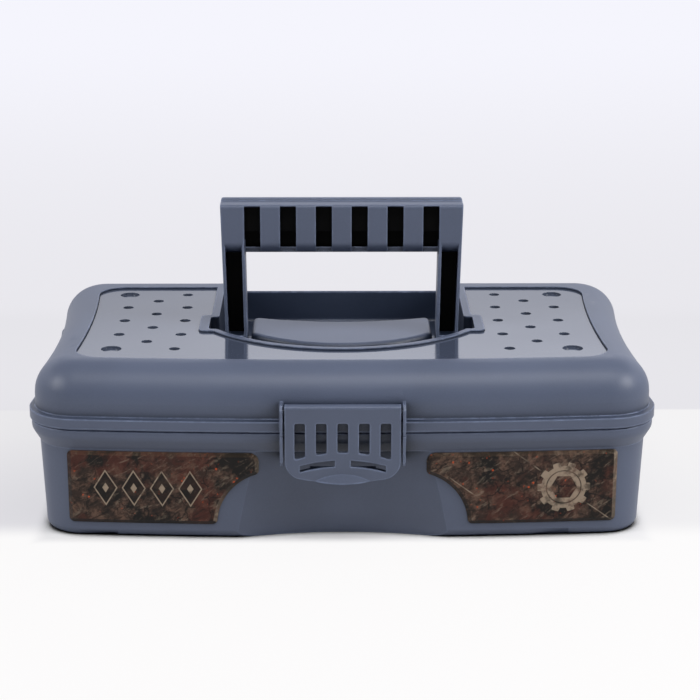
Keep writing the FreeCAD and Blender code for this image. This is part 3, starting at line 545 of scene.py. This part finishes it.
def washer_label(name, finishes, box):
    """Print with one notched washer: a ring whose outer radius steps with the angle, round a six-sided
    hole."""
    look = Finish(name)
    across, _, upright = look.axes()
    low, high = box
    notches = 10.0
    notch_depth = 0.9 * MM

    side = look.minus(across, low.x + 0.72 * (high.x - low.x))
    rise = look.minus(upright, low.z + 0.5 * (high.z - low.z))
    away = look.math("SQRT", look.add(look.times(side, side), look.times(rise, rise)))
    swing = look.math("COSINE", look.times(look.math("ARCTAN2", rise, side), notches))
    notch = look.band(swing, low=-0.25, high=0.25, start=-notch_depth, end=notch_depth)
    outer = look.band(look.minus(away, notch), low=11.2 * MM, high=11.5 * MM, start=1.0, end=0.0)
    flat = look.size(rise)
    slant = look.add(look.times(look.size(side), HEXAGON_SIDEWAYS), look.times(flat, HEXAGON_UPRIGHT))
    hole = look.band(look.most(flat, slant), low=5.2 * MM, high=5.5 * MM)
    groove_share = 0.8
    groove = look.times(look.within(away, middle=8.0 * MM, half=0.3 * MM, soft=0.1 * MM), groove_share)
    patchy = look.noise(scale=220.0, detail=5.0, roughness=0.65)
    worn = look.band(patchy, low=0.36, high=0.56, start=0.2, end=0.8)
    motif = look.times(outer, hole, look.minus(1.0, groove), worn)
    clear = look.band(away, low=13.0 * MM, high=16.0 * MM, start=1.0, end=0.0)
    return printed_film(look, printed_ground(look, finishes, clear), motif, finishes)


class CADDY_OT_mouldings(bpy.types.Operator):
    """Satin slate finish of the tub, lid, latch and handle frame"""

    bl_idname = "caddy.mouldings"
    bl_label = "Slate mouldings"

    def execute(self, context):
        look = context.scene.caddy_finishes
        slate = moulded_plastic("slate_satin", look.slate, look.slate_roughness, look.slate_gloss, look)
        dress(slate, "base_tub", "lid_shell", "front_latch", "handle_frame")
        return {"FINISHED"}


class CADDY_OT_panel(bpy.types.Operator):
    """Polished finish of the inlaid top panel"""

    bl_idname = "caddy.panel"
    bl_label = "Polished panel"

    def execute(self, context):
        dress(polished_panel("slate_polished", context.scene.caddy_finishes), "lid_top_panel")
        return {"FINISHED"}


class CADDY_OT_core(bpy.types.Operator):
    """Matt black finish of the handle core"""

    bl_idname = "caddy.core"
    bl_label = "Handle core"

    def execute(self, context):
        look = context.scene.caddy_finishes
        black = moulded_plastic("core_black", look.core, look.core_roughness, look.core_gloss, look)
        dress(black, "handle_core")
        return {"FINISHED"}


class CADDY_OT_tray(bpy.types.Operator):
    """Dark satin finish of the lift-out tray"""

    bl_idname = "caddy.tray"
    bl_label = "Lift-out tray"

    def execute(self, context):
        look = context.scene.caddy_finishes
        dark = moulded_plastic("tray_satin", look.tray, look.tray_roughness, look.slate_gloss, look)
        dress(dark, "lift_out_tray")
        return {"FINISHED"}


class CADDY_OT_pins(bpy.types.Operator):
    """Drawn steel finish of the hinge and handle pins, blackened on the latch pin"""

    bl_idname = "caddy.pins"
    bl_label = "Pins"

    def execute(self, context):
        look = context.scene.caddy_finishes
        steel = drawn_steel("pin_drawn_steel", look.steel)
        dress(steel, "hinge_pin_left", "hinge_pin_right", "handle_pin_left", "handle_pin_right")
        dress(drawn_steel("pin_black_steel", look.black_steel), "latch_pin")
        return {"FINISHED"}


class CADDY_OT_labels(bpy.types.Operator):
    """Printed finish of the two front labels"""

    bl_idname = "caddy.labels"
    bl_label = "Front labels"

    def execute(self, context):
        look = context.scene.caddy_finishes
        dress(lozenge_label("label_lozenges", look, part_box("label_left")), "label_left")
        dress(washer_label("label_washer", look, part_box("label_right")), "label_right")
        return {"FINISHED"}


def sheet_mesh(name, shape, columns, rows):
    """Mesh of a surface shape(u, v) with u and v from zero to one on a grid of columns by rows points."""
    u, v = np.meshgrid(np.linspace(0.0, 1.0, columns), np.linspace(0.0, 1.0, rows), indexing="ij")
    points = np.stack(shape(u, v), axis=-1).reshape(-1, 3)
    index = np.arange(columns * rows).reshape(columns, rows)
    corners = (index[:-1, :-1], index[1:, :-1], index[1:, 1:], index[:-1, 1:])
    faces = np.stack(corners, axis=-1).reshape(-1, 4)
    mesh = bpy.data.meshes.new(name)
    mesh.from_pydata(points.tolist(), [], faces.tolist())
    mesh.update()
    return mesh


def floor_surface(u, v):
    """A flat square round the box: both parameters run along its sides, a hair below zero."""
    return FLOOR_HALF * (2.0 * u - 1.0), FLOOR_HALF * (2.0 * v - 1.0), np.full_like(u, -FLOOR_DROP)


def floor_finish(stage):
    """Pale table: a painted contact shadow where the box touches it, diffuse close to the box, where the
    shadow lies, and running into a painted table, with a painted shadow beside the box, and background
    further out."""
    look = Finish("stage_floor")
    across, along, _ = look.axes()
    low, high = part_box("base_tub")
    beside = look.minus(look.size(across), high.x - FOOT_IN_SIDE)
    ahead = look.minus(low.y + FOOT_IN_FRONT, along)
    behind = look.minus(along, high.y - FOOT_IN_BACK)
    away = look.most(beside, look.most(ahead, behind))
    path = look.node("ShaderNodeLightPath")
    seen = look.most(path.outputs["Is Camera Ray"], path.outputs["Is Glossy Ray"])

    speckle = look.band(look.noise(scale=900.0), low=0.35, high=0.65, end=0.3)
    speckled = shaded(stage.floor, 0.98)
    contact_shadow = shaded(stage.floor, 0.03)
    # Painted contact shadow: the table darkens nearly to black where the box stands within a few millimetres.
    touching = look.band(look.open_share(reach=8.0 * MM), low=0.3, high=0.7)
    grey = look.mix(touching, contact_shadow, look.mix(speckle, stage.floor, speckled))
    tone = look.mix(seen, shaded(stage.floor, stage.bounce), grey)
    table = look.node("ShaderNodeBsdfDiffuse", {"Color": tone}).outputs[0]

    # Painted shadow of the box on the table behind its front line, strongest on the left and nearest the
    # front.
    shade_front = look.band(along, low=-86.0 * MM, high=-62.0 * MM)
    shade_depth = look.band(along, low=100.0 * MM, high=-60.0 * MM, start=0.55, end=1.0)
    shade_side = look.band(across, low=-130.0 * MM, high=130.0 * MM, start=1.0, end=0.4)
    shade = look.times(shade_front, shade_depth, shade_side)
    edge = stage.table_edge
    wall = look.mix(look.band(along, low=edge, high=1.6), stage.backdrop_low, stage.backdrop_high)
    past_edge = look.band(along, low=edge - 2.0 * MM, high=edge + 2.0 * MM)
    paint = look.mix(past_edge, look.mix(shade, stage.floor, stage.floor_shade), wall)
    glow = look.node("ShaderNodeEmission", {"Color": paint, "Strength": 1.0}).outputs[0]

    near = look.times(touching, look.band(away, low=-2.0 * MM, high=7.0 * MM, end=0.85))
    far = look.band(away, low=30.0 * MM, high=260.0 * MM)
    wall_share = 0.9
    spread = look.most(near, far, look.times(past_edge, wall_share))
    both = look.node("ShaderNodeMixShader", {0: look.times(seen, spread), 1: table, 2: glow}).outputs[0]
    look.node("ShaderNodeOutputMaterial", {"Surface": both})
    return look.material


def light_room(stage):
    """World: even light on the box, white to the camera, and for the polished pieces dim behind the camera
    and brighter from low to high at the back."""
    world = bpy.data.worlds.new("stage_room")
    world.use_nodes = True
    room = Nodes(world.node_tree)
    across, along, upright = room.parts(room.node("ShaderNodeTexCoord").outputs["Generated"])
    rising = room.band(upright, low=0.24, high=0.3, start=1.0, end=2.05)
    falling = room.band(upright, low=0.38, high=0.6, start=1.0, end=0.3)
    leftward = room.band(across, low=-0.14, high=0.02, start=0.85, end=1.0)
    backdrop = room.times(rising, falling, leftward)
    ahead = room.band(along, low=-0.35, high=0.35, start=stage.room_glow, end=backdrop)
    path = room.node("ShaderNodeLightPath")
    lit = room.blend(path.outputs["Is Glossy Ray"], room.times(ahead, stage.ambient), ahead)
    strength = room.blend(path.outputs["Is Camera Ray"], lit, 1.0)
    back = room.node("ShaderNodeBackground", {"Color": stage.room, "Strength": strength})
    room.node("ShaderNodeOutputWorld", {"Surface": back.outputs[0]})
    bpy.context.scene.world = world


def soft_box(name, place, width, height, power):
    """A rectangular area lamp at a place, turned to face the middle of the box."""
    data = bpy.data.lights.new(name, "AREA")
    data.shape = "RECTANGLE"
    data.size = width
    data.size_y = height
    data.energy = power
    lamp = bpy.data.objects.new(name, data)
    lamp.location = place
    lamp.rotation_euler = (Vector(LAMP_TARGET) - Vector(place)).to_track_quat("-Z", "Y").to_euler()
    bpy.context.scene.collection.objects.link(lamp)


def photo_camera(stage):
    """The camera of the photographed view."""
    data = bpy.data.cameras.new("photo_camera")
    data.sensor_width = SENSOR_WIDTH
    data.lens = stage.lens
    camera = bpy.data.objects.new("photo_camera", data)
    camera.location = stage.camera_place
    camera.rotation_euler = stage.camera_turn
    bpy.context.scene.collection.objects.link(camera)
    bpy.context.scene.camera = camera


class CADDY_OT_stage(bpy.types.Operator):
    """Pale table, soft boxes, room and camera"""

    bl_idname = "caddy.stage"
    bl_label = "Stage"

    def execute(self, context):
        stage = context.scene.caddy_stage
        sheet = sheet_mesh("stage_floor", floor_surface, FLOOR_POINTS, FLOOR_POINTS)
        floor = bpy.data.objects.new("stage_floor", sheet)
        floor.data.materials.append(floor_finish(stage))
        context.scene.collection.objects.link(floor)
        light_room(stage)
        soft_box("key", KEY_PLACE, KEY_WIDTH, KEY_HEIGHT, stage.key_power)
        soft_box("right_fill", RIGHT_FILL_PLACE, FILL_SIDE, FILL_SIDE, stage.fill_power)
        soft_box("left_fill", LEFT_FILL_PLACE, FILL_SIDE, FILL_SIDE, stage.left_share * stage.fill_power)
        photo_camera(stage)
        context.scene.view_settings.view_transform = "Standard"
        return {"FINISHED"}


class CADDY_PT_sidebar(bpy.types.Panel):
    """Lists the steps that dress the caddy"""

    bl_idname = "CADDY_PT_sidebar"
    bl_label = "Tool storage caddy"
    bl_space_type = "VIEW_3D"
    bl_region_type = "UI"
    bl_category = "Caddy"

    def draw(self, context):
        for operator in operators:
            self.layout.operator(operator.bl_idname, text=operator.bl_label)
        for group in (context.scene.caddy_finishes, context.scene.caddy_stage):
            column = self.layout.column()
            for key in group.__annotations__:
                column.prop(group, key)


operators = (
    CADDY_OT_mouldings,
    CADDY_OT_panel,
    CADDY_OT_core,
    CADDY_OT_tray,
    CADDY_OT_pins,
    CADDY_OT_labels,
    CADDY_OT_stage,
)
classes = (CaddyFinishes, CaddyStage, *operators, CADDY_PT_sidebar)


def register():
    """Registers the classes and puts the two property groups on the scene."""
    for each in classes:
        bpy.utils.register_class(each)
    bpy.types.Scene.caddy_finishes = bpy.props.PointerProperty(type=CaddyFinishes)
    bpy.types.Scene.caddy_stage = bpy.props.PointerProperty(type=CaddyStage)


def unregister():
    """Undoes what register does, in reverse."""
    del bpy.types.Scene.caddy_stage
    del bpy.types.Scene.caddy_finishes
    for each in reversed(classes):
        bpy.utils.unregister_class(each)


def main():
    """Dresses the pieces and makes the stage."""
    register()
    bpy.ops.caddy.mouldings()
    bpy.ops.caddy.panel()
    bpy.ops.caddy.core()
    bpy.ops.caddy.tray()
    bpy.ops.caddy.pins()
    bpy.ops.caddy.labels()
    bpy.ops.caddy.stage()


if __name__ == "__main__":
    main()
